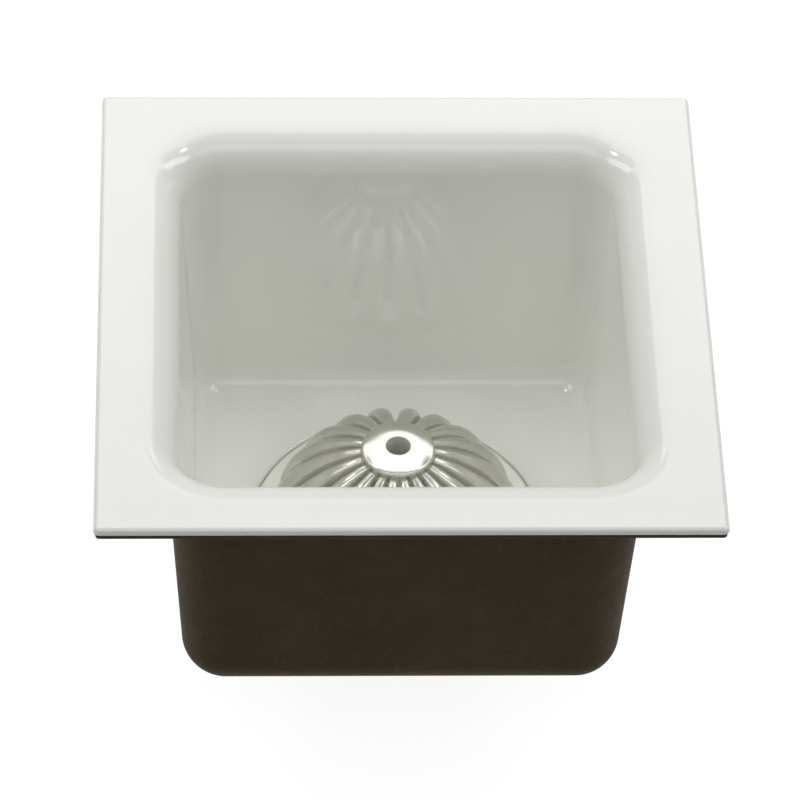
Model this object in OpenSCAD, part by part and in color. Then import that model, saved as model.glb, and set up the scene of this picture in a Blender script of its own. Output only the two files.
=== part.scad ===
// Cast iron floor sink: a square enamelled sump with a rolled lip and a lift-out dome strainer.
// The origin is on the outlet's axis at the outlet's lower end. +Z points up, out of the bowl.

/* [Rim] */
// Width of the square rim, over the enamel
rim_side = 304.8; // [290:0.1:340]
// Thickness of the rim at its edge, enamel included
rim_thickness = 7; // [6:0.5:12]
// Radius of the rim's top edge and of its four corners, over the enamel
rim_edge_r = 3; // [2.5:0.5:5]

/* [Bowl] */
// Height from the outlet's lower end to the rim's top face
overall_height = 222; // [215:1:260]
// Depth from the rim's top face to the edge of the bowl's floor
bowl_depth = 163; // [140:1:168]
// Inside width of the bowl where its drafted walls would reach the rim's top face
bowl_mouth = 225.4; // [215:0.1:230]
// Draft of the bowl's walls, in degrees
wall_draft = 3.2; // [1:0.1:4]
// Radius of the rolled lip between the rim and the walls
lip_r = 22; // [14:0.5:24]
// Radius of the fillet round the floor and of the bowl's lower corners
floor_fillet_r = 16; // [12:0.5:20]
// Fall of the floor from its fillet to the strainer's recess
floor_fall = 1.5; // [0.5:0.1:4]

/* [Casting] */
// Thickness of the iron walls and floor
iron_wall = 5.5; // [4:0.5:8]
// Thickness of the porcelain enamel
enamel = 1; // [0.6:0.1:1.5]

/* [Strainer recess and throat] */
// Radial play between the strainer's ring and its recess
strainer_play = 1; // [0.5:0.1:2]
// Depth of the strainer's recess below the floor
recess_depth = 4; // [3:0.1:7]
// Radius of the iron's edge round the recess, under the enamel
recess_edge_r = 0.8; // [0.4:0.1:1.5]
// Width of the flat seat under the strainer's ring
seat_width = 16; // [10:0.5:18]
// Slope of the funnel inside the seat, in degrees
funnel_slope = 10; // [4:0.5:15]
// Radius of the enamelled edge between the funnel and the outlet's bore
throat_r = 8; // [5:0.5:10]
// Length of the bore that is enamelled below the throat's edge
enamelled_bore = 8; // [3:0.5:15]

/* [Outlet spigot] */
// Outside diameter of the plain spigot
spigot_d = 83.8; // [80:0.1:88]
// Bore of the spigot, which the enamel of the throat is flush with
spigot_bore = 76; // [60:0.1:76]
// Radius of the outer edge at the spigot's lower end
spigot_end_r = 1.5; // [0.5:0.1:2]
// Radius of the fillet between the spigot and the casting's underside
spigot_fillet_r = 6; // [3:0.5:8]

/* [Dome strainer] */
// Outside diameter of the seating ring
ring_d = 151; // [140:0.5:156]
// Thickness of the seating ring
ring_thickness = 4.5; // [3.5:0.1:6]
// Width of the ring's flat top outside the ribs
ring_margin = 8.5; // [5:0.5:12]
// Width of the ring's ledge inside the ribs
ring_ledge = 1; // [0.5:0.1:3]
// Radius of the ring's top edges
ring_edge_r = 1.5; // [0.5:0.1:2]
// Height of the dome's crest above the ring's underside, where the ribs would meet at its axis
dome_height = 61.5; // [45:0.5:80]
// Number of ribs
rib_count = 20; // [12:1:24]
// Share of each rib's pitch that is open slot
slot_share = 0.27; // [0.2:0.01:0.45]
// Depth of a rib from its crest to the inside of the dome
rib_depth = 8; // [5:0.5:12]
// Height of a rib's rounded top, as a share of its width
rib_round = 0.4; // [0.2:0.05:0.5]
// Diameter of the hub
hub_d = 38.4; // [32:0.1:44]
// Height of the hub's top above the ribs' crests where they meet it
hub_rise = 6.2; // [4:0.1:10]
// Thickness of the hub along its lift hole
hub_thickness = 16; // [12:0.5:22]
// Diameter of the flat land round the lift hole on the hub's top
hub_land_d = 18; // [10:0.5:24]
// Radius of the crown that falls from the flat land to the hub's edge
hub_crown_r = 30; // [25:1:120]
// Radius of the hub's top edge
hub_edge_r = 1.8; // [1:0.1:3]
// Diameter of the lift hole through the hub
lift_hole_d = 12.5; // [8:0.5:16]

/* [Hidden] */

$fn = 96;
hull_fn = 32;
overcut = 1;

skin = enamel + iron_wall;
rim_half = rim_side / 2;
rim_top = overall_height;
rim_bottom = rim_top - rim_thickness;
floor_z = rim_top - bowl_depth;
recess_floor_z = floor_z - floor_fall;
seat_z = recess_floor_z - recess_depth;

// Inside half width of the drafted bowl at a height z, with its walls moved back by grow
function bowl_half(z, grow = 0) =
    bowl_mouth / 2 - (rim_top - z) * tan(wall_draft) + grow / cos(wall_draft);

// The bowl's four corners turn about upright axes at this distance from the centre planes
corner_axis = bowl_half(floor_z + floor_fillet_r, -floor_fillet_r);
rim_axis = rim_half - rim_edge_r;

// Centre of an arc that touches the drafted wall and a level face, counted from the corner axes
function arc_centre(face_z, arc_r, grow) =
    [bowl_half(face_z - arc_r, grow + arc_r) - corner_axis, face_z - arc_r];

lip_centre = arc_centre(rim_top, lip_r, 0);
lip_base_z = lip_centre[1];
under_rim_r = lip_r - skin;
under_rim_centre = arc_centre(rim_bottom, under_rim_r, skin);
wall_overlap = 4;

ring_r = ring_d / 2;
recess_r = ring_r + strainer_play;
recess_round_r = recess_edge_r + enamel;
recess_rim_r = recess_r + recess_round_r;
seat_inner_r = recess_r - seat_width;

bore_r = spigot_bore / 2;
spigot_r = spigot_d / 2;

// Height of the enamelled funnel at a radius r
function funnel_z(r) = seat_z - (seat_inner_r - r) * tan(funnel_slope);

// A round edge between the funnel's slope and an upright wall: its centre, for a slope lowered by drop
function funnel_arc(r, arc_r, drop) = [r, funnel_z(r) - (drop + arc_r) / cos(funnel_slope)];

throat_centre = funnel_arc(bore_r + throat_r, throat_r, 0);
fillet_centre = funnel_arc(spigot_r + spigot_fillet_r, spigot_fillet_r, skin);
enamel_end_z = throat_centre[1] - enamelled_bore;

crest_r = ring_r - ring_margin;
ring_inner_r = crest_r - rib_depth - ring_ledge;
hub_r = hub_d / 2;
hub_top_z = crest(crest_angle(hub_r))[1] + hub_rise;
half_turn = 180;
rib_half_angle = half_turn / rib_count * (1 - slot_share);
rib_root_r = (hub_r + lift_hole_d / 2) / 2;
rib_steps = 9;
round_steps = 6;

// A point on the dome's crest, from its axis at 0 degrees to the ring at 90 degrees
function crest(a) = [crest_r * sin(a), seat_z + dome_height * cos(a)];
function crest_angle(r) = asin(r / crest_r);

// The crest's unit normal, pointing out of the dome
function crest_normal(a) =
    let (n = [sin(a) * dome_height, cos(a) * crest_r]) n / norm(n);

// A ball with points exactly on its poles and equator, so that a hull keeps its true size
module ball(r) {
    step = 360 / hull_fn;
    rotate_extrude($fn = hull_fn)
        polygon([for (a = [-90:step:90]) [r * cos(a), r * sin(a)]]);
}

module at_corners(distance) {
    for (x = [-1, 1], y = [-1, 1])
        translate([x * distance, y * distance, 0])
            children();
}

// Runs a profile round a square with round corners: x in the profile counts from the corner axes
module round_the_square(axis) {
    for (a = [0:90:270])
        rotate([0, 0, a]) {
            translate([axis, axis, 0])
                rotate_extrude(angle = 90)
                    children();
            translate([axis, axis, 0])
                rotate([90, 0, 0])
                    linear_extrude(height = 2 * axis)
                        children();
        }
}

// A quarter of a disc, or of a ring if it has an inner radius, for the rim's top edge
module quarter(outer_r, inner_r = 0) {
    difference() {
        intersection() {
            circle(r = outer_r);
            square(outer_r);
        }
        if (inner_r > 0)
            circle(r = inner_r);
    }
}

// The iron of the rim, with its top edge rounded
module rim_slab() {
    edge_r = rim_edge_r - enamel;
    top = rim_top - enamel;
    round_the_square(rim_axis) {
        translate([0, rim_bottom])
            square([edge_r, top - edge_r - rim_bottom]);
        translate([0, top - edge_r])
            quarter(edge_r);
    }
    translate([-rim_axis, -rim_axis, rim_bottom])
        cube([2 * rim_axis, 2 * rim_axis, top - rim_bottom]);
}

// The bowl's inside form with its walls and floor moved back by grow, up to a level top
module bowl_form(grow, top) {
    base = top - overcut;
    hull() {
        at_corners(corner_axis)
            translate([0, 0, floor_z + floor_fillet_r])
                ball(floor_fillet_r + grow);
        at_corners(corner_axis)
            translate([0, 0, base])
                cylinder(
                    r1 = bowl_half(base, grow) - corner_axis,
                    r2 = bowl_half(top, grow) - corner_axis,
                    h = overcut,
                    $fn = hull_fn);
        translate([0, 0, recess_floor_z - grow])
            cylinder(r = recess_rim_r, h = overcut, $fn = 2 * hull_fn);
    }
}

// The corner between the drafted wall and a level face, up to top, outside an arc that touches both
module arc_corner(centre, arc_r, top) {
    foot_z = centre[1] + arc_r * sin(wall_draft);
    inner_x = centre[0] - arc_r - wall_overlap;
    difference() {
        translate([inner_x, foot_z])
            square([centre[0] - inner_x, top - foot_z]);
        translate(centre)
            circle(r = arc_r);
    }
}

// The slope of the funnel, lowered by drop, run into an upright wall by an arc
module funnel_profile(drop, arc_centre, arc_r) {
    knee_r = seat_inner_r + drop * (1 / cos(funnel_slope) - 1) / tan(funnel_slope);
    touch = arc_centre + arc_r * [-sin(funnel_slope), cos(funnel_slope)];
    difference() {
        polygon([
            [0, seat_z],
            [knee_r, seat_z],
            [knee_r, seat_z - drop],
            touch,
            arc_centre,
            [0, arc_centre[1]]
        ]);
        translate(arc_centre)
            circle(r = arc_r);
    }
}

// The recess, funnel and bore below the floor in profile, with their walls moved back by grow
module well_profile(grow, top, bottom) {
    round_z = recess_floor_z - recess_round_r;
    translate([0, seat_z - grow])
        square([recess_r + grow, top + overcut - seat_z + grow]);
    difference() {
        translate([0, round_z])
            square([recess_rim_r, top - round_z]);
        translate([recess_rim_r, round_z])
            circle(r = recess_round_r - grow);
    }
    funnel_profile(grow, throat_centre, throat_r - grow);
    translate([0, bottom])
        square([bore_r + grow, seat_z - bottom]);
}

// The space inside the sink, with its surface moved back by grow
module sump(grow, top, bottom) {
    bowl_form(grow, top);
    round_the_square(corner_axis)
        arc_corner(lip_centre, lip_r - grow, top);
    rotate_extrude()
        well_profile(grow, recess_floor_z, bottom);
}

// The outside of the casting under the strainer, and its outlet spigot
module outlet_form() {
    rotate_extrude() {
        translate([0, seat_z - skin])
            square([recess_r, skin + recess_depth - enamel]);
        translate([recess_r, seat_z])
            circle(r = skin);
        funnel_profile(skin, fillet_centre, spigot_fillet_r);
        square([spigot_r - spigot_end_r, seat_z]);
        translate([0, spigot_end_r])
            square([spigot_r, seat_z - spigot_end_r]);
        translate([spigot_r - spigot_end_r, spigot_end_r])
            circle(r = spigot_end_r);
    }
}

module sink_body() {
    color("#352e26")
        difference() {
            union() {
                rim_slab();
                bowl_form(skin, rim_bottom + overcut);
                round_the_square(corner_axis)
                    arc_corner(under_rim_centre, under_rim_r, rim_bottom + overcut);
                outlet_form();
            }
            sump(enamel, rim_top, enamel_end_z);
            translate([0, 0, -overcut])
                cylinder(r = bore_r, h = seat_z);
        }
}

// A square outline with round corners about the corner axes
module mouth_outline(half) {
    square(2 * [half, corner_axis], center = true);
    square(2 * [corner_axis, half], center = true);
    at_corners(corner_axis)
        circle(r = half - corner_axis);
}

// A level plate round the mouth, out to a half width, from bottom up by height
module rim_plate(mouth, half, bottom, height) {
    translate([0, 0, bottom])
        linear_extrude(height = height)
            difference() {
                square(2 * half, center = true);
                mouth_outline(mouth);
            }
}

// The enamel on the rim's top face and over its edge: a thinner plate keys it to the edge and the lip
module rim_enamel() {
    mouth = lip_centre[0] + corner_axis;
    key = enamel / 4;
    rim_plate(mouth, rim_axis, rim_top - enamel, enamel);
    rim_plate(mouth - key, rim_axis + key, rim_top - enamel + key, enamel / 2);
    round_the_square(rim_axis)
        translate([0, rim_top - rim_edge_r])
            quarter(rim_edge_r, rim_edge_r - enamel);
}

module enamel_lining() {
    color("#e9ebe6") {
        rim_enamel();
        difference() {
            sump(enamel, rim_top, enamel_end_z);
            sump(0, rim_top + overcut, enamel_end_z - overcut);
        }
    }
}

// A cross-section of a rib square to its crest: its flanks are radial and its top is round
function rib_section(a) =
    let (
        top = crest(a),
        n = crest_normal(a),
        width = 2 * top[0] * tan(rib_half_angle),
        round_height = rib_round * width,
        flank = [for (s = [-1, 1]) rib_point(top - rib_depth * n, s, rib_half_angle)],
        arch = [
            for (i = [0:round_steps])
                let (t = half_turn * i / round_steps)
                    rib_point(top - round_height * (1 - sin(t)) * n, cos(t), rib_half_angle)
        ])
    concat(flank, arch);

// A point of a rib in the plane of its crest, moved sideways by a share of the rib's half width
function rib_point(p, share, half_angle) = [p[0], share * p[0] * tan(half_angle), p[1]];

// A rib lofted through its cross-sections, from inside the hub to inside the ring
module rib() {
    first = crest_angle(rib_root_r);
    last = acos((ring_thickness / 2) / dome_height);
    sections = [for (i = [0:rib_steps]) rib_section(first + (last - first) * i / rib_steps)];
    count = len(sections[0]);
    polyhedron(
        points = [for (s = sections) for (p = s) p],
        faces = concat(
            [[for (k = [0:count - 1]) k]],
            [
                for (i = [0:rib_steps - 1])
                    for (k = [0:count - 1])
                        let (j = (k + 1) % count)
                            [i * count + k, (i + 1) * count + k, (i + 1) * count + j, i * count + j]
            ],
            [[for (k = [count - 1:-1:0]) rib_steps * count + k]]));
}

module hub() {
    land_r = hub_land_d / 2;
    edge_x = hub_r - hub_edge_r;
    crown_z = hub_top_z - hub_crown_r;
    edge_z = crown_z + sqrt(pow(hub_crown_r - hub_edge_r, 2) - pow(edge_x - land_r, 2));
    touch_x = land_r + (edge_x - land_r) * hub_crown_r / (hub_crown_r - hub_edge_r);
    bottom_z = hub_top_z - hub_thickness;
    rotate_extrude()
        difference() {
            union() {
                intersection() {
                    translate([land_r, crown_z])
                        circle(r = hub_crown_r);
                    translate([land_r, bottom_z])
                        square([touch_x - land_r, hub_thickness]);
                }
                translate([0, bottom_z])
                    square([land_r, hub_thickness]);
                translate([edge_x, edge_z])
                    circle(r = hub_edge_r);
                translate([0, bottom_z])
                    square([hub_r, edge_z - bottom_z]);
            }
            translate([0, bottom_z - overcut])
                square([lift_hole_d / 2, hub_thickness + 2 * overcut]);
        }
}

module seating_ring() {
    top_z = seat_z + ring_thickness;
    width = ring_r - ring_inner_r;
    rotate_extrude() {
        translate([ring_inner_r, seat_z])
            square([width, ring_thickness - ring_edge_r]);
        translate([ring_inner_r + ring_edge_r, seat_z])
            square([width - 2 * ring_edge_r, ring_thickness]);
        for (x = [ring_inner_r + ring_edge_r, ring_r - ring_edge_r])
            translate([x, top_z - ring_edge_r])
                circle(r = ring_edge_r);
    }
}

module dome_strainer() {
    color("#a3a39b") {
        hub();
        seating_ring();
        for (i = [0:rib_count - 1])
            rotate([0, 0, 360 / rib_count * (i + 0.5)])
                rib();
    }
}

sink_body();
enamel_lining();
dome_strainer();
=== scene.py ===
"""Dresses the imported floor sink: glossy enamel, coated iron and a cast strainer, under soft light."""

import math

import bmesh
import bpy
from mathutils import Matrix, Vector


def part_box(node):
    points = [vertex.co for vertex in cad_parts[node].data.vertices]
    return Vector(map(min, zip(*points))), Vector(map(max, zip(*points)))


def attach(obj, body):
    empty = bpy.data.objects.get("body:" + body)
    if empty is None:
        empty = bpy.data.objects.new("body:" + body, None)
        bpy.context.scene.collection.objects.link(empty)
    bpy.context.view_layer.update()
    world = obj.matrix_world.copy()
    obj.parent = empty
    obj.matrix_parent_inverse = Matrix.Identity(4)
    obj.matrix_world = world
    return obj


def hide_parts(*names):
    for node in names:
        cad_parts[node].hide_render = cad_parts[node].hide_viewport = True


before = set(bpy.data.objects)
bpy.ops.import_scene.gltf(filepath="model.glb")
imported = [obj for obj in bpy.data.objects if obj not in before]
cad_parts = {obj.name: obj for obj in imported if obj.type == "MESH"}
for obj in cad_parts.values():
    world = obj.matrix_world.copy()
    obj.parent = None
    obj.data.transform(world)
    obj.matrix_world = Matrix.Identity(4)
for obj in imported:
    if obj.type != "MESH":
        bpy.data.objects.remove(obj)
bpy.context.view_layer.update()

# Sizes of the sink, in millimetres, and its angles in radians; the first ones are read from model.glb

MM = 0.001

enamel_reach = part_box("enamel_lining")[1]
strainer_foot, strainer_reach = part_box("dome_strainer")
RIM_TOP = round(enamel_reach[2] / MM, 1)
RIM_HALF = round(enamel_reach[0] / MM, 1)
SEAT_Z = round(strainer_foot[2] / MM, 1)
RING_R = round(strainer_reach[0] / MM, 1)

RIM_THICKNESS = 7.0
RIM_BOTTOM = RIM_TOP - RIM_THICKNESS
RIM_EDGE_R = 3.0
RIM_AXIS = RIM_HALF - RIM_EDGE_R

ENAMEL = 1.0
IRON_WALL = 5.5
SKIN = ENAMEL + IRON_WALL
# The enamel's hidden back stops this far short of the iron, so that no two faces coincide
BACK_GAP = 0.03
ENAMEL_BACK = ENAMEL - BACK_GAP

MOUTH_HALF = 112.7
DRAFT = math.radians(3.2)
LIP_R = 22.0
BOWL_DEPTH = 163.0
FLOOR_Z = RIM_TOP - BOWL_DEPTH
FILLET_R = 16.0

RECESS_DEPTH = 4.0
RECESS_FLOOR_Z = SEAT_Z + RECESS_DEPTH
STRAINER_PLAY = 1.0
RECESS_R = RING_R + STRAINER_PLAY
RECESS_ROUND_R = 1.8
RECESS_RIM_R = RECESS_R + RECESS_ROUND_R
RECESS_ROOT_R = 0.9
SEAT_WIDTH = 16.0
SEAT_INNER_R = RECESS_R - SEAT_WIDTH
FUNNEL = math.radians(10)
THROAT_R = 8.0
ENAMELLED_BORE = 8.0
BORE_R = 38.0
SPIGOT_R = 41.9
SPIGOT_END_R = 1.5
SPIGOT_FILLET_R = 6.0
# Where the floor's pitched underside meets the round under the recess, it is this much higher than
# the floor's thickness below the recess's edge
BELLY_RISE = 0.2

RING_THICKNESS = 4.5
RING_MARGIN = 8.5
RING_LEDGE = 1.0
RING_EDGE_R = 1.5
RING_CHAMFER = 0.4
CREST_R = RING_R - RING_MARGIN
DOME_HEIGHT = 61.5
RIB_COUNT = 20
SLOT_SHARE = 0.27
RIB_HALF_ANGLE = math.radians(180 / RIB_COUNT * (1 - SLOT_SHARE))
RIB_DEPTH = 8.0
RING_INNER_R = CREST_R - RIB_DEPTH - RING_LEDGE
# Height of a rib's round top, as a share of its width
RIB_ROUND = 0.4
HUB_R = 19.2
HUB_RISE = 6.2
HUB_THICKNESS = 16.0
HUB_LAND_R = 9.0
HUB_CROWN_R = 30.0
HUB_EDGE_R = 1.8
HUB_FOOT_R = 1.0
LIFT_HOLE_R = 6.25
LIFT_HOLE_EDGE_R = 0.5

# How finely the curves are cut

SIDE_STEPS = 24
CORNER_STEPS = 24
ARC_STEPS = 18
TURN_STEPS = 96
HUB_TURN_STEPS = 72
RIB_ARCH_STEPS = 14
RIB_LOFT_STEPS = 26
# A narrow strip beside an arc, which keeps the shading of the flat next to it flat
STRIP = 1.5
# Points nearer to each other than this are one point
MERGE_REACH = 0.002
# An edge that turns more than this stays sharp
SHARP = math.radians(40)

# The finish of the strainer, in millimetres and shares

TUMBLED_CORNER_R = 0.7
METALLIC = 0.9
# What a dull cast face and a scored face add to the roughness of a tumbled one
DULL_ROUGHNESS = 0.4
SCORED_ROUGHNESS = 0.35
# Depth under the crest, as a share of the dome's size, for each metre from the axis: the round top
# of a rib ends between these two
FLANK_START = 0.7
FLANK_FULL = 1.4
HOLE_MARGIN = 0.3

# The studio, in metres: all lamps hang level at one height

LAMP_Z = 1.22
LAMPS = [
    # name, (x, y) of its middle, (width, depth), radiance of its face
    ("middle_softbox", (0, 0.47), (0.9, 0.56), 1.78),
    ("back_softbox", (0, 1.01), (1.9, 0.52), 1.55),
    ("back_left_softbox", (-0.7, 1.64), (0.5, 0.72), 1.9),
    ("back_right_softbox", (0.7, 1.64), (0.5, 0.72), 1.9),
    ("front_panel", (0, -0.7), (1.9, 0.6), 1.3),
    ("left_panel", (-1.3, 0.3), (0.7, 1.2), 3.7),
    ("right_panel", (1.3, 0.3), (0.7, 1.2), 3.7),
    ("left_lamp", (-0.61, 0.15), (0.16, 0.16), 12.0),
    ("right_lamp", (0.61, 0.15), (0.16, 0.16), 12.0),
]
ROOM_HALF = 3.2
ROOM_TOP_Z = 2.7
# How bright the walls are in a reflection, where 1 is white
WALL_GREY = 0.40
FLOOR_HALF = 6.0
# How bright the floor is to the camera before any lamp lights it
FLOOR_LIFT = 0.93
WORLD_FILL = 0.02

# The camera looks at the middle of the rim from in front and above, and is then moved right and up
# in its own plane; distances are in metres

CAMERA_AZIMUTH = math.radians(-3.17)
CAMERA_ELEVATION = math.radians(46.4)
CAMERA_ROLL = math.radians(2.26)
CAMERA_DISTANCE = 2.4718
CAMERA_RIGHT = -0.00196
CAMERA_UP = -0.04791
FOCAL_PIXELS = 4961.2
FRAME_PIXELS = 800
SENSOR_WIDTH = 36.0


# Drawing profiles and sweeping them


class Pen:
    """Draws a profile in the XZ plane by extruding its last vertex and spinning it into arcs."""

    def __init__(self, x, z):
        self.bm = bmesh.new()
        self.tip = self.bm.verts.new((x * MM, 0, z * MM))

    def line(self, x, z):
        out = bmesh.ops.extrude_vert_indiv(self.bm, verts=[self.tip])
        self.tip = out["verts"][0]
        self.tip.co = (x * MM, 0, z * MM)
        return self

    def by(self, dx, dz):
        x, _, z = self.tip.co / MM
        return self.line(x + dx, z + dz)

    def arc(self, x, z, degrees, steps=ARC_STEPS):
        """Turns about (x, z), counter-clockwise with +X to the right and +Z up."""
        out = bmesh.ops.spin(
            self.bm,
            geom=[self.tip],
            cent=(x * MM, 0, z * MM),
            axis=(0, -1, 0),
            angle=math.radians(degrees),
            steps=steps,
        )
        self.tip = [g for g in out["geom_last"] if isinstance(g, bmesh.types.BMVert)][0]
        return self


def everything(bm):
    return bm.verts[:] + bm.edges[:] + bm.faces[:]


def merge(bm):
    bmesh.ops.remove_doubles(bm, verts=bm.verts, dist=MERGE_REACH * MM)


def turn_round(pen, steps=TURN_STEPS):
    """Spins a profile all the way round the outlet's axis."""
    bm = pen.bm
    bmesh.ops.spin(
        bm,
        geom=everything(bm),
        cent=(0, 0, 0),
        axis=(0, 0, 1),
        angle=math.tau,
        steps=steps,
        use_merge=True,
    )
    merge(bm)
    return bm


def run_round_square(pen, axis):
    """Runs a profile along one side of a square and round its corner, and repeats that four times."""
    bm = pen.bm
    side = 2 * axis * MM
    bmesh.ops.translate(bm, verts=bm.verts, vec=(axis * MM, -axis * MM, 0))
    out = bmesh.ops.spin(
        bm,
        geom=everything(bm),
        cent=(0, 0, 0),
        axis=(0, 0, 1),
        dvec=(0, side / SIDE_STEPS, 0),
        angle=0,
        steps=SIDE_STEPS,
    )
    bmesh.ops.spin(
        bm,
        geom=out["geom_last"],
        cent=(axis * MM, axis * MM, 0),
        axis=(0, 0, 1),
        angle=math.radians(90),
        steps=CORNER_STEPS,
    )
    quarter = everything(bm)
    for turns in (1, 2, 3):
        copy = bmesh.ops.duplicate(bm, geom=quarter)["geom"]
        bmesh.ops.rotate(
            bm,
            verts=[g for g in copy if isinstance(g, bmesh.types.BMVert)],
            cent=(0, 0, 0),
            matrix=Matrix.Rotation(math.radians(90 * turns), 3, "Z"),
        )
    merge(bm)
    return bm


def joined(*parts):
    """One bmesh that holds all the parts, with the loops that touch merged."""
    whole = bmesh.new()
    for part in parts:
        carrier = bpy.data.meshes.new("carrier")
        part.to_mesh(carrier)
        part.free()
        whole.from_mesh(carrier)
        bpy.data.meshes.remove(carrier)
    merge(whole)
    return whole


# The walls of the bowl and the well under it


def bowl_half(z, grow=0.0):
    """Half width of the drafted bowl at a height, with its wall moved back by grow."""
    return MOUTH_HALF - (RIM_TOP - z) * math.tan(DRAFT) + grow / math.cos(DRAFT)


# The bowl's rounded corners turn about upright axes, this far from its middle planes
CORNER_AXIS = bowl_half(FLOOR_Z + FILLET_R, -FILLET_R)


def wall_pen(face_z, arc_r, grow):
    """The rolled edge, drafted wall and floor fillet, from a level face down to the floor."""
    lip_x = bowl_half(face_z - arc_r, grow + arc_r) - CORNER_AXIS
    fillet_z = FLOOR_Z + FILLET_R
    fillet_r = FILLET_R + grow
    sweep = 90 - math.degrees(DRAFT)
    down_x = -STRIP * math.sin(DRAFT)
    down_z = -STRIP * math.cos(DRAFT)
    foot_x = fillet_r * math.cos(DRAFT)
    foot_z = fillet_z - fillet_r * math.sin(DRAFT)
    pen = Pen(lip_x + STRIP, face_z).line(lip_x, face_z).arc(lip_x, face_z - arc_r, sweep)
    pen.by(down_x, down_z).line(foot_x - down_x, foot_z - down_z).line(foot_x, foot_z)
    return pen.arc(0, fillet_z, -sweep)


def funnel_arc_centre(r, arc_r, drop):
    """Centre of a round edge between the funnel's slope, lowered by drop, and an upright wall."""
    slope_z = SEAT_Z - (SEAT_INNER_R - r) * math.tan(FUNNEL)
    return r, slope_z - (drop + arc_r) / math.cos(FUNNEL)


THROAT_X, THROAT_Z = funnel_arc_centre(BORE_R + THROAT_R, THROAT_R, 0)
ENAMEL_END_Z = THROAT_Z - ENAMELLED_BORE


def knee_r(drop):
    """Radius at which the seat and the funnel's slope meet, both lowered square to their face."""
    return SEAT_INNER_R + drop * (1 / math.cos(FUNNEL) - 1) / math.tan(FUNNEL)


def well_pen(grow):
    """The strainer's recess, seat, funnel and enamelled bore, with the surface moved back by grow."""
    seat_z = SEAT_Z - grow
    root_x = RECESS_R + grow - RECESS_ROOT_R
    root_z = seat_z + RECESS_ROOT_R
    throat_r = THROAT_R - grow
    pen = Pen(RECESS_RIM_R, RECESS_FLOOR_Z - grow)
    pen.arc(RECESS_RIM_R, RECESS_FLOOR_Z - RECESS_ROUND_R, 90, steps=6)
    pen.line(RECESS_R + grow, root_z).arc(root_x, root_z, -90, steps=5)
    pen.line(knee_r(grow), seat_z)
    pen.line(THROAT_X - throat_r * math.sin(FUNNEL), THROAT_Z + throat_r * math.cos(FUNNEL))
    pen.arc(THROAT_X, THROAT_Z, 90 - math.degrees(FUNNEL), steps=10)
    return pen.line(BORE_R + grow, ENAMEL_END_Z)


# Finding open loops and closing the faces between them


def near(value, target, reach=0.01):
    return abs(value - target) < reach


def square_reach(place):
    """Half width of the square about the outlet's axis on which a place lies."""
    return max(abs(place.x), abs(place.y))


def open_loop(bm, test):
    """The boundary edges whose two ends pass a test on their place in millimetres."""
    return [
        edge
        for edge in bm.edges
        if edge.is_boundary and all(test(vert.co / MM) for vert in edge.verts)
    ]


# A square on the rim's flat, between the lip and the rim's edge
RIM_MIDWAY = RIM_AXIS - 5


def lip_loop(bm, z):
    return open_loop(bm, lambda p: near(p.z, z) and square_reach(p) < RIM_MIDWAY)


def rim_loop(bm, z):
    return open_loop(bm, lambda p: near(p.z, z) and square_reach(p) > RIM_MIDWAY)


def floor_loop(bm, z):
    return open_loop(bm, lambda p: near(p.z, z) and near(square_reach(p), CORNER_AXIS))


def round_loop(bm, r, z):
    return open_loop(bm, lambda p: near(p.z, z) and near(math.hypot(p.x, p.y), r, reach=0.05))


def bridge(bm, first, second):
    bmesh.ops.bridge_loops(bm, edges=first + second)


def fill_between(bm, first, second):
    """Level faces between two loops in one plane."""
    bmesh.ops.triangle_fill(bm, edges=first + second, use_beauty=True)


# The enamel and the iron


def enamel_mesh():
    """The enamel's glossy face, its hidden back against the iron, and its two ends."""
    back_z = RIM_TOP - ENAMEL_BACK
    edge_z = RIM_TOP - RIM_EDGE_R
    rim = Pen(0, back_z).arc(0, edge_z, -90, steps=8)
    rim.line(RIM_EDGE_R, edge_z).arc(0, edge_z, 90, steps=8)
    bm = joined(
        run_round_square(rim, RIM_AXIS),
        run_round_square(wall_pen(RIM_TOP, LIP_R, 0), CORNER_AXIS),
        run_round_square(wall_pen(back_z, LIP_R - ENAMEL_BACK, ENAMEL_BACK), CORNER_AXIS),
        turn_round(well_pen(0)),
        turn_round(well_pen(ENAMEL_BACK)),
    )
    for grow in (0, ENAMEL_BACK):
        face_z = RIM_TOP - grow
        fill_between(bm, rim_loop(bm, face_z), lip_loop(bm, face_z))
        recess_rim = round_loop(bm, RECESS_RIM_R, RECESS_FLOOR_Z - grow)
        bridge(bm, floor_loop(bm, FLOOR_Z - grow), recess_rim)
    fill_between(
        bm,
        round_loop(bm, BORE_R, ENAMEL_END_Z),
        round_loop(bm, BORE_R + ENAMEL_BACK, ENAMEL_END_Z),
    )
    return bm


def iron_rim_pen():
    """The rim's edge under the enamel, and the eased edge of its underside."""
    top_r = RIM_EDGE_R - ENAMEL
    foot_r = top_r / 2
    foot_z = RIM_BOTTOM + foot_r
    pen = Pen(0, RIM_TOP - ENAMEL).arc(0, RIM_TOP - RIM_EDGE_R, -90, steps=4)
    return pen.line(top_r, foot_z).arc(foot_r, foot_z, -90, steps=4).line(0, RIM_BOTTOM)


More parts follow.
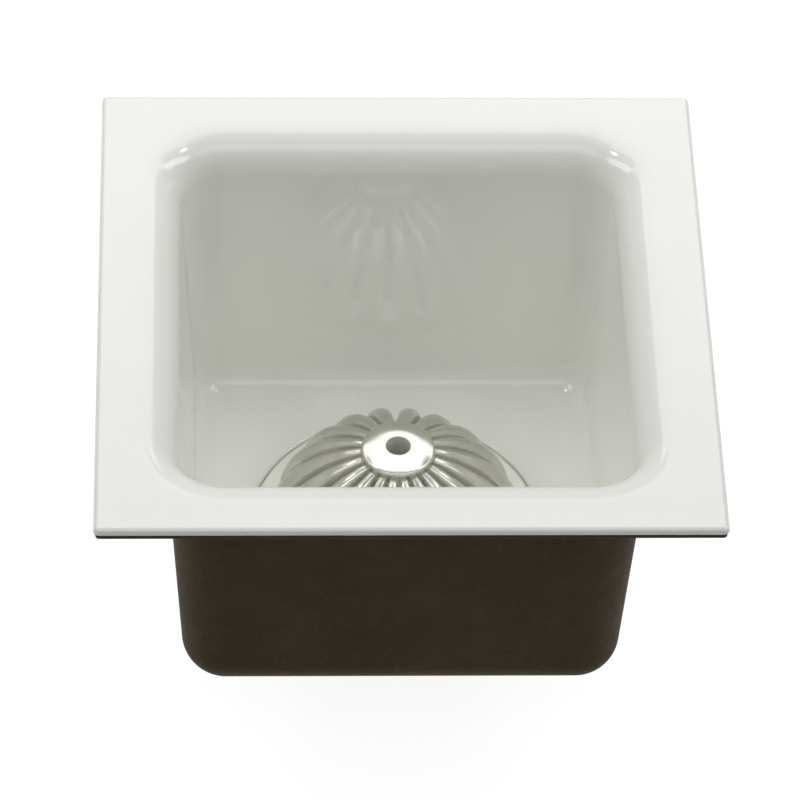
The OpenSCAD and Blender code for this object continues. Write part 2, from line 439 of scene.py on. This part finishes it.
def iron_well_pen(belly_z):
    """From the recess under the enamel, down the bore and up the spigot's outside, to the belly."""
    fillet_x, fillet_z = funnel_arc_centre(SPIGOT_R + SPIGOT_FILLET_R, SPIGOT_FILLET_R, SKIN)
    end_x = SPIGOT_R - SPIGOT_END_R
    under_z = SEAT_Z - SKIN
    rise = 90 - math.degrees(math.asin((SEAT_Z - belly_z) / SKIN))
    pen = well_pen(ENAMEL).line(BORE_R, ENAMEL_END_Z).line(BORE_R, 0)
    pen.line(end_x, 0).arc(end_x, SPIGOT_END_R, 90, steps=6)
    pen.line(SPIGOT_R, fillet_z)
    pen.arc(fillet_x, fillet_z, math.degrees(FUNNEL) - 90, steps=10)
    pen.line(knee_r(SKIN), under_z).line(RECESS_R, under_z)
    return pen.arc(RECESS_R, SEAT_Z, rise, steps=8)


def iron_mesh():
    """The casting: rim, rolled underside, drafted body, outlet spigot, and the inside under the enamel."""
    iron_top = RIM_TOP - ENAMEL
    belly_z = RECESS_FLOOR_Z - SKIN + BELLY_RISE
    well = iron_well_pen(belly_z)
    belly_r = well.tip.co.x / MM
    bm = joined(
        run_round_square(iron_rim_pen(), RIM_AXIS),
        run_round_square(wall_pen(iron_top, LIP_R - ENAMEL, ENAMEL), CORNER_AXIS),
        run_round_square(wall_pen(RIM_BOTTOM, LIP_R - SKIN, SKIN), CORNER_AXIS),
        turn_round(well),
    )
    for z in (iron_top, RIM_BOTTOM):
        fill_between(bm, rim_loop(bm, z), lip_loop(bm, z))
    recess_rim = round_loop(bm, RECESS_RIM_R, RECESS_FLOOR_Z - ENAMEL)
    bridge(bm, floor_loop(bm, FLOOR_Z - ENAMEL), recess_rim)
    bridge(bm, floor_loop(bm, FLOOR_Z - SKIN), round_loop(bm, belly_r, belly_z))
    return bm


# The strainer


def crest(a):
    """A point on the dome's crest, from its axis at 0 to the ring at a quarter turn."""
    return Vector((CREST_R * math.sin(a), 0, SEAT_Z + DOME_HEIGHT * math.cos(a)))


def crest_normal(a):
    return Vector((math.sin(a) * DOME_HEIGHT, 0, math.cos(a) * CREST_R)).normalized()


def crest_angle(r):
    return math.asin(r / CREST_R)


HUB_TOP_Z = crest(crest_angle(HUB_R)).z + HUB_RISE


def rib_section(a):
    """A rib's section square to its crest, in metres: a round top, radial flanks and a flat foot."""
    top = crest(a)
    out = crest_normal(a)
    spread = math.tan(RIB_HALF_ANGLE)
    round_height = RIB_ROUND * 2 * top.x * spread
    turns = [math.pi * i / RIB_ARCH_STEPS for i in range(RIB_ARCH_STEPS + 1)]
    arch = [(math.cos(turn), round_height * (math.sin(turn) - 1)) for turn in turns]
    foot = [(-1, -RIB_DEPTH), (1, -RIB_DEPTH)]
    section = []
    for share, lift in arch + foot:
        point = top + out * lift
        point.y = share * point.x * spread
        section.append(point * MM)
    return section


def rib_mesh():
    """All the ribs: a section that is extruded along the crest from hub to ring, and spun round."""
    first = crest_angle((HUB_R + LIFT_HOLE_R) / 2)
    last = math.acos(RING_THICKNESS / 2 / DOME_HEIGHT)
    bm = bmesh.new()
    face = bm.faces.new([bm.verts.new(point) for point in rib_section(first)])
    for step in range(1, RIB_LOFT_STEPS + 1):
        grown = bmesh.ops.extrude_face_region(bm, geom=[face])["geom"]
        new_face = [g for g in grown if isinstance(g, bmesh.types.BMFace)][0]
        if step > 1:
            bmesh.ops.delete(bm, geom=[face], context="FACES_ONLY")
        face = new_face
        section = rib_section(first + (last - first) * step / RIB_LOFT_STEPS)
        for vert, point in zip(face.verts, section):
            vert.co = point
    bmesh.ops.rotate(
        bm,
        verts=bm.verts,
        cent=(0, 0, 0),
        matrix=Matrix.Rotation(math.pi / RIB_COUNT, 3, "Z"),
    )
    bmesh.ops.spin(
        bm,
        geom=everything(bm),
        cent=(0, 0, 0),
        axis=(0, 0, 1),
        angle=math.tau * (RIB_COUNT - 1) / RIB_COUNT,
        steps=RIB_COUNT - 1,
        use_duplicate=True,
    )
    return bm


def hub_mesh():
    """The hub: a flat land round the lift hole, a crown that falls from it, and a rounded edge."""
    edge_x = HUB_R - HUB_EDGE_R
    crown_z = HUB_TOP_Z - HUB_CROWN_R
    reach = HUB_CROWN_R - HUB_EDGE_R
    edge_z = crown_z + math.sqrt(reach**2 - (edge_x - HUB_LAND_R) ** 2)
    tilt = math.degrees(math.asin((edge_x - HUB_LAND_R) / reach))
    bottom_z = HUB_TOP_Z - HUB_THICKNESS
    foot_x = HUB_R - HUB_FOOT_R
    hole_x = LIFT_HOLE_R + LIFT_HOLE_EDGE_R
    pen = Pen(LIFT_HOLE_R, bottom_z).line(foot_x, bottom_z)
    pen.arc(foot_x, bottom_z + HUB_FOOT_R, 90, steps=4)
    pen.line(HUB_R, edge_z).arc(edge_x, edge_z, 90 - tilt, steps=8)
    pen.arc(HUB_LAND_R, crown_z, tilt, steps=12)
    pen.line(hole_x, HUB_TOP_Z).arc(hole_x, HUB_TOP_Z - LIFT_HOLE_EDGE_R, 90, steps=4)
    pen.line(LIFT_HOLE_R, bottom_z)
    return turn_round(pen, HUB_TURN_STEPS)


def ring_mesh():
    """The flat seating ring, round on its two top edges and chamfered at its outer foot."""
    round_z = SEAT_Z + RING_THICKNESS - RING_EDGE_R
    inner_x = RING_INNER_R + RING_EDGE_R
    pen = Pen(RING_INNER_R, SEAT_Z).line(RING_R - RING_CHAMFER, SEAT_Z)
    pen.line(RING_R, SEAT_Z + RING_CHAMFER).line(RING_R, round_z)
    pen.arc(RING_R - RING_EDGE_R, round_z, 90, steps=6)
    pen.line(inner_x, SEAT_Z + RING_THICKNESS).arc(inner_x, round_z, 90, steps=6)
    pen.line(RING_INNER_R, SEAT_Z)
    return turn_round(pen)


# Putting finished meshes in the scene


def object_from(bm, name, material):
    """An object at the origin that holds a bmesh, in one material."""
    mesh = bpy.data.meshes.new(name)
    bm.to_mesh(mesh)
    bm.free()
    mesh.materials.append(material)
    thing = bpy.data.objects.new(name, mesh)
    bpy.context.scene.collection.objects.link(thing)
    return thing


def finish_piece(bm, name, body, node, material):
    """Turns a bmesh into a smooth piece on its body, in place of its CAD node."""
    bmesh.ops.recalc_face_normals(bm, faces=bm.faces)
    for face in bm.faces:
        face.smooth = True
    for edge in bm.edges:
        if len(edge.link_faces) == 2 and edge.calc_face_angle(0) > SHARP:
            edge.smooth = False
    piece = object_from(bm, name, material)
    level_shading = piece.modifiers.new("level_faces_shade_level", "WEIGHTED_NORMAL")
    level_shading.keep_sharp = True
    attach(piece, body)
    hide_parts(node)


# Building materials


def linear(hex_colour):
    """An sRGB hex colour as the linear colour that the shaders take."""
    channels = [int(hex_colour[i : i + 2], 16) / 255 for i in (1, 3, 5)]
    return [c / 12.92 if c <= 0.04045 else ((c + 0.055) / 1.055) ** 2.4 for c in channels] + [1.0]


def grain_of(size):
    """The noise scale that gives features of about this size in millimetres."""
    return 1 / (size * MM)


def new_material(name):
    material = bpy.data.materials.new(name)
    material.use_nodes = True
    material.node_tree.nodes.clear()
    return material, material.node_tree


def add(tree, kind, settings=None, stops=(), **inputs):
    """Adds a node with its settings and links, and gives back its outputs.

    An input is named for its socket, such as Base_Color, or has its number, such as _0. It is set to
    a value, or linked from another node's output. A colour ramp has its stops as hex colours or greys.
    """
    node = tree.nodes.new(kind)
    for key, value in (settings or {}).items():
        setattr(node, key, value)
    for key, value in inputs.items():
        socket = node.inputs[int(key[1:]) if key.startswith("_") else key.replace("_", " ")]
        if isinstance(value, bpy.types.NodeSocket):
            tree.links.new(value, socket)
        else:
            socket.default_value = value
    points = node.color_ramp.elements if stops else []
    while len(points) < len(stops):
        points.new(0.5)
    for point, (place, colour) in zip(points, stops):
        point.position = place
        point.color = linear(colour) if isinstance(colour, str) else [colour] * 3 + [1]
    return node.outputs


# The sink's materials


def fired_enamel():
    """Vitreous enamel fired on iron: a glassy white skin, with the slow waves of the melt in its gloss."""
    material, tree = new_material("fired_white_vitreous_enamel")
    place = add(tree, "ShaderNodeTexCoord")["Object"]
    tone = add(tree, "ShaderNodeTexNoise", Vector=place, Scale=grain_of(60), Detail=2)["Fac"]
    drift = add(tree, "ShaderNodeTexNoise", Vector=place, Scale=grain_of(30), Detail=3)["Fac"]
    peel = add(tree, "ShaderNodeTexNoise", Vector=place, Scale=grain_of(3.5), Detail=2)["Fac"]
    waves = add(
        tree,
        "ShaderNodeTexNoise",
        Vector=place,
        Scale=grain_of(22),
        Detail=2,
        Roughness=0.4,
    )["Fac"]
    white = add(
        tree, "ShaderNodeValToRGB", Fac=tone, stops=[(0.3, "#f7f8f2"), (0.7, "#f9faf5")]
    )["Color"]
    gloss = add(
        tree, "ShaderNodeValToRGB", Fac=drift, stops=[(0.3, 0.015), (0.75, 0.035)]
    )["Color"]
    wavy = add(tree, "ShaderNodeBump", Height=waves, Strength=0.15, Distance=0.05 * MM)["Normal"]
    skin = add(
        tree, "ShaderNodeBump", Height=peel, Strength=0.2, Distance=0.01 * MM, Normal=wavy
    )["Normal"]
    enamel = add(
        tree,
        "ShaderNodeBsdfPrincipled",
        Base_Color=white,
        Roughness=gloss,
        IOR=1.52,
        Normal=skin,
    )["BSDF"]
    add(tree, "ShaderNodeOutputMaterial", Surface=enamel)
    return material


def coated_iron():
    """Sand-cast grey iron under a thin coat of black-brown bitumen: dull, with the mould's sand in it.

    The sand's grains are about 0.3 mm, and are drawn at 1.6 mm so that they show.
    """
    material, tree = new_material("bitumen_coated_sand_cast_iron")
    place = add(tree, "ShaderNodeTexCoord")["Object"]
    blotch = add(
        tree,
        "ShaderNodeTexNoise",
        Vector=place,
        Scale=grain_of(45),
        Detail=4,
        Roughness=0.6,
    )["Fac"]
    sand = add(
        tree,
        "ShaderNodeTexNoise",
        Vector=place,
        Scale=grain_of(1.6),
        Detail=3,
        Roughness=0.6,
    )["Fac"]
    swell = add(tree, "ShaderNodeTexNoise", Vector=place, Scale=grain_of(9), Detail=2)["Fac"]
    bitumen = add(
        tree,
        "ShaderNodeValToRGB",
        Fac=blotch,
        stops=[(0.25, "#382d1e"), (0.55, "#423624"), (0.8, "#4c3f2c")],
    )["Color"]
    rough = add(tree, "ShaderNodeValToRGB", Fac=sand, stops=[(0.3, 0.55), (0.7, 0.75)])["Color"]
    swollen = add(tree, "ShaderNodeBump", Height=swell, Strength=0.4, Distance=0.35 * MM)["Normal"]
    sandy = add(
        tree, "ShaderNodeBump", Height=sand, Strength=0.5, Distance=0.25 * MM, Normal=swollen
    )["Normal"]
    iron = add(
        tree,
        "ShaderNodeBsdfPrincipled",
        Base_Color=bitumen,
        Roughness=rough,
        Specular_IOR_Level=0.12,
        Normal=sandy,
    )["BSDF"]
    add(tree, "ShaderNodeOutputMaterial", Surface=iron)
    return material


def from_axis(tree, place):
    """Distance from the outlet's axis, in metres."""
    level = add(tree, "ShaderNodeVectorMath", {"operation": "MULTIPLY"}, _0=place, _1=(1, 1, 0))[0]
    return add(tree, "ShaderNodeVectorMath", {"operation": "LENGTH"}, _0=level)["Value"]


def untumbled(tree, place, radius):
    """1 down in the slots and in the lift hole, where tumbling doesn't reach, and 0 on the crests."""
    on_unit_dome = add(
        tree,
        "ShaderNodeMapping",
        {"vector_type": "TEXTURE"},
        Vector=place,
        Location=(0, 0, SEAT_Z * MM),
        Scale=(CREST_R * MM, CREST_R * MM, DOME_HEIGHT * MM),
    )[0]
    share = add(tree, "ShaderNodeVectorMath", {"operation": "LENGTH"}, _0=on_unit_dome)["Value"]
    depth = add(tree, "ShaderNodeMath", {"operation": "SUBTRACT"}, _0=1.0, _1=share)[0]
    steepness = add(tree, "ShaderNodeMath", {"operation": "DIVIDE"}, _0=depth, _1=radius)[0]
    flank = add(
        tree,
        "ShaderNodeMapRange",
        Value=steepness,
        From_Min=FLANK_START,
        From_Max=FLANK_FULL,
    )[0]
    hole_reach = (LIFT_HOLE_R + HOLE_MARGIN) * MM
    hole = add(tree, "ShaderNodeMath", {"operation": "LESS_THAN"}, _0=radius, _1=hole_reach)[0]
    return add(tree, "ShaderNodeMath", {"operation": "MAXIMUM"}, _0=flank, _1=hole)[0]


def cast_aluminium():
    """Cast aluminium, tumbled to a soft grey sheen, with the mould's grain and rounded corners.

    Its slots and its lift hole stay dull as cast. Its seating ring is turned, with fine scores that
    spread the light, and its colour is painted paler than the ribs, as a painted highlight. The
    mould's grain is about 0.3 mm, and is drawn at 0.9 mm so that it shows.
    """
    material, tree = new_material("tumbled_cast_aluminium")
    place = add(tree, "ShaderNodeTexCoord")["Object"]
    radius = from_axis(tree, place)
    dull = untumbled(tree, place, radius)
    ring_start = CREST_R * MM
    # The ring gets scored roughness and a paler colour, which is a painted highlight
    scored_ring_with_painted_highlight = add(tree, "ShaderNodeMath", {"operation": "GREATER_THAN"}, _0=radius, _1=ring_start)[0]
    tone = add(
        tree,
        "ShaderNodeTexNoise",
        Vector=place,
        Scale=grain_of(14),
        Detail=3,
        Roughness=0.6,
    )["Fac"]
    grain = add(
        tree,
        "ShaderNodeTexNoise",
        Vector=place,
        Scale=grain_of(0.9),
        Detail=3,
        Roughness=0.6,
    )["Fac"]
    soft = add(tree, "ShaderNodeTexNoise", Vector=place, Scale=grain_of(5), Detail=2)["Fac"]
    cast = add(
        tree, "ShaderNodeValToRGB", Fac=tone, stops=[(0.3, "#cac9c1"), (0.7, "#d3d2cb")]
    )["Color"]
    # Inputs 6 and 7 are the colours off and on the ring, and output 2 is the one that is taken. The
    #     # ring's paler colour is a painted highlight.
    colour = add(
        tree,
        "ShaderNodeMix",
        {"data_type": "RGBA"},
        _0=scored_ring_with_painted_highlight,
        _6=cast,
        _7=linear("#f0efea"),
    )[2]
    metal = add(
        tree,
        "ShaderNodeMath",
        {"operation": "MULTIPLY_ADD"},
        _0=dull,
        _1=-METALLIC,
        _2=METALLIC,
    )[0]
    gloss = add(tree, "ShaderNodeValToRGB", Fac=soft, stops=[(0.3, 0.14), (0.7, 0.22)])["Color"]
    off_ring = add(
        tree,
        "ShaderNodeMath",
        {"operation": "MULTIPLY_ADD"},
        _0=dull,
        _1=DULL_ROUGHNESS,
        _2=gloss,
    )[0]
    rough = add(
        tree,
        "ShaderNodeMath",
        {"operation": "MULTIPLY_ADD"},
        _0=scored_ring_with_painted_highlight,
        _1=SCORED_ROUGHNESS,
        _2=off_ring,
    )[0]
    corners = add(tree, "ShaderNodeBevel", {"samples": 6}, Radius=TUMBLED_CORNER_R * MM)["Normal"]
    softened = add(
        tree, "ShaderNodeBump", Height=soft, Strength=0.2, Distance=0.08 * MM, Normal=corners
    )["Normal"]
    grainy = add(
        tree, "ShaderNodeBump", Height=grain, Strength=0.05, Distance=0.02 * MM, Normal=softened
    )["Normal"]
    aluminium = add(
        tree,
        "ShaderNodeBsdfPrincipled",
        Base_Color=colour,
        Metallic=metal,
        Roughness=rough,
        Normal=grainy,
    )["BSDF"]
    add(tree, "ShaderNodeOutputMaterial", Surface=aluminium)
    return material


# Floor, light and camera


def seen_or_mirrored(tree, seen):
    """1 for a ray from the camera or from a reflection, and 0 for the rest."""
    return add(
        tree,
        "ShaderNodeMath",
        {"operation": "MAXIMUM"},
        _0=seen["Is Camera Ray"],
        _1=seen["Is Glossy Ray"],
    )[0]


def pale_floor():
    """A pale studio floor: white to the camera where it is lit, darker where the sink shades it."""
    material, tree = new_material("matt_white_studio_floor")
    seen = add(tree, "ShaderNodeLightPath")
    matt = add(tree, "ShaderNodeBsdfDiffuse", Color=linear("#f4f4f4"))[0]
    faint = add(tree, "ShaderNodeBsdfDiffuse", Color=linear("#7c7c7c"))[0]
    lift = add(tree, "ShaderNodeEmission", Color=linear("#ffffff"), Strength=FLOOR_LIFT)[0]
    lifted = add(tree, "ShaderNodeAddShader", _0=faint, _1=lift)[0]
    floor = add(
        tree, "ShaderNodeMixShader", _0=seen_or_mirrored(tree, seen), _1=matt, _2=lifted
    )[0]
    add(tree, "ShaderNodeOutputMaterial", Surface=floor)
    bm = bmesh.new()
    bmesh.ops.create_grid(bm, x_segments=8, y_segments=8, size=FLOOR_HALF)
    object_from(bm, "studio_floor", material)


def grey_walls():
    """Grey walls and ceiling round the lamps, which only reflections see: what the gloss mirrors there."""
    material, tree = new_material("grey_studio_wall")
    mirrored = add(tree, "ShaderNodeLightPath")["Is Glossy Ray"]
    clear = add(tree, "ShaderNodeBsdfTransparent")[0]
    grey = add(tree, "ShaderNodeEmission", Color=linear("#ffffff"), Strength=WALL_GREY)[0]
    wall = add(tree, "ShaderNodeMixShader", _0=mirrored, _1=clear, _2=grey)[0]
    add(tree, "ShaderNodeOutputMaterial", Surface=wall)
    middle_z = ROOM_TOP_Z / 2
    bm = bmesh.new()
    bmesh.ops.create_cube(bm, size=2.0)
    bmesh.ops.scale(bm, verts=bm.verts, vec=(ROOM_HALF, ROOM_HALF, middle_z))
    bmesh.ops.translate(bm, verts=bm.verts, vec=(0, 0, middle_z))
    bottom = [face for face in bm.faces if face.calc_center_median().z < middle_z / 2]
    bmesh.ops.delete(bm, geom=bottom, context="FACES_ONLY")
    object_from(bm, "grey_studio_walls", material)


def studio_light():
    """Soft lamps that face down: softboxes above and behind, one in front, and two pairs beside."""
    for name, (x, y), (width, depth), radiance in LAMPS:
        light = bpy.data.lights.new(name, "AREA")
        light.shape = "RECTANGLE"
        light.size = width
        light.size_y = depth
        light.energy = radiance * math.pi * width * depth
        holder = bpy.data.objects.new(name, light)
        holder.location = (x, y, LAMP_Z)
        bpy.context.scene.collection.objects.link(holder)


def white_world():
    """White to the camera, in reflections and through glass, and a weak even fill for the rest."""
    world = bpy.data.worlds.new("studio")
    bpy.context.scene.world = world
    world.use_nodes = True
    tree = world.node_tree
    tree.nodes.clear()
    seen = add(tree, "ShaderNodeLightPath")
    shown_white = add(
        tree,
        "ShaderNodeMath",
        {"operation": "MAXIMUM"},
        _0=seen_or_mirrored(tree, seen),
        _1=seen["Is Transmission Ray"],
    )[0]
    fill = add(tree, "ShaderNodeBackground", Color=linear("#ffffff"), Strength=WORLD_FILL)[0]
    white = add(tree, "ShaderNodeBackground", Color=linear("#ffffff"), Strength=1.0)[0]
    sky = add(tree, "ShaderNodeMixShader", _0=shown_white, _1=fill, _2=white)[0]
    add(tree, "ShaderNodeOutputWorld", Surface=sky)


def photo_camera():
    """A long lens from in front and above, where the photograph was taken from."""
    back = Vector(
        (
            math.sin(CAMERA_AZIMUTH) * math.cos(CAMERA_ELEVATION),
            -math.cos(CAMERA_AZIMUTH) * math.cos(CAMERA_ELEVATION),
            math.sin(CAMERA_ELEVATION),
        )
    )
    level = Vector((math.cos(CAMERA_AZIMUTH), math.sin(CAMERA_AZIMUTH), 0))
    upright = back.cross(level)
    right = level * math.cos(CAMERA_ROLL) + upright * math.sin(CAMERA_ROLL)
    up = upright * math.cos(CAMERA_ROLL) - level * math.sin(CAMERA_ROLL)
    rim_middle = Vector((0, 0, RIM_TOP * MM))
    eye = rim_middle + back * CAMERA_DISTANCE + right * CAMERA_RIGHT + up * CAMERA_UP
    camera = bpy.data.cameras.new("photo_camera")
    camera.sensor_width = SENSOR_WIDTH
    camera.lens = FOCAL_PIXELS / FRAME_PIXELS * SENSOR_WIDTH
    camera.dof.use_dof = False
    holder = bpy.data.objects.new("photo_camera", camera)
    turn = Matrix((right, up, back)).transposed().to_4x4()
    holder.matrix_world = Matrix.Translation(eye) @ turn
    bpy.context.scene.collection.objects.link(holder)
    bpy.context.scene.camera = holder


# Putting it together

photo_camera()
studio_light()
grey_walls()
white_world()
pale_floor()

finish_piece(
    enamel_mesh(), "enamel_skin", "sink", "enamel_lining", fired_enamel()
)
finish_piece(iron_mesh(), "iron_casting", "sink", "sink_body", coated_iron())
finish_piece(
    joined(rib_mesh(), hub_mesh(), ring_mesh()),
    "strainer_casting",
    "strainer",
    "dome_strainer",
    cast_aluminium(),
)

bpy.context.scene.view_settings.view_transform = "Standard"
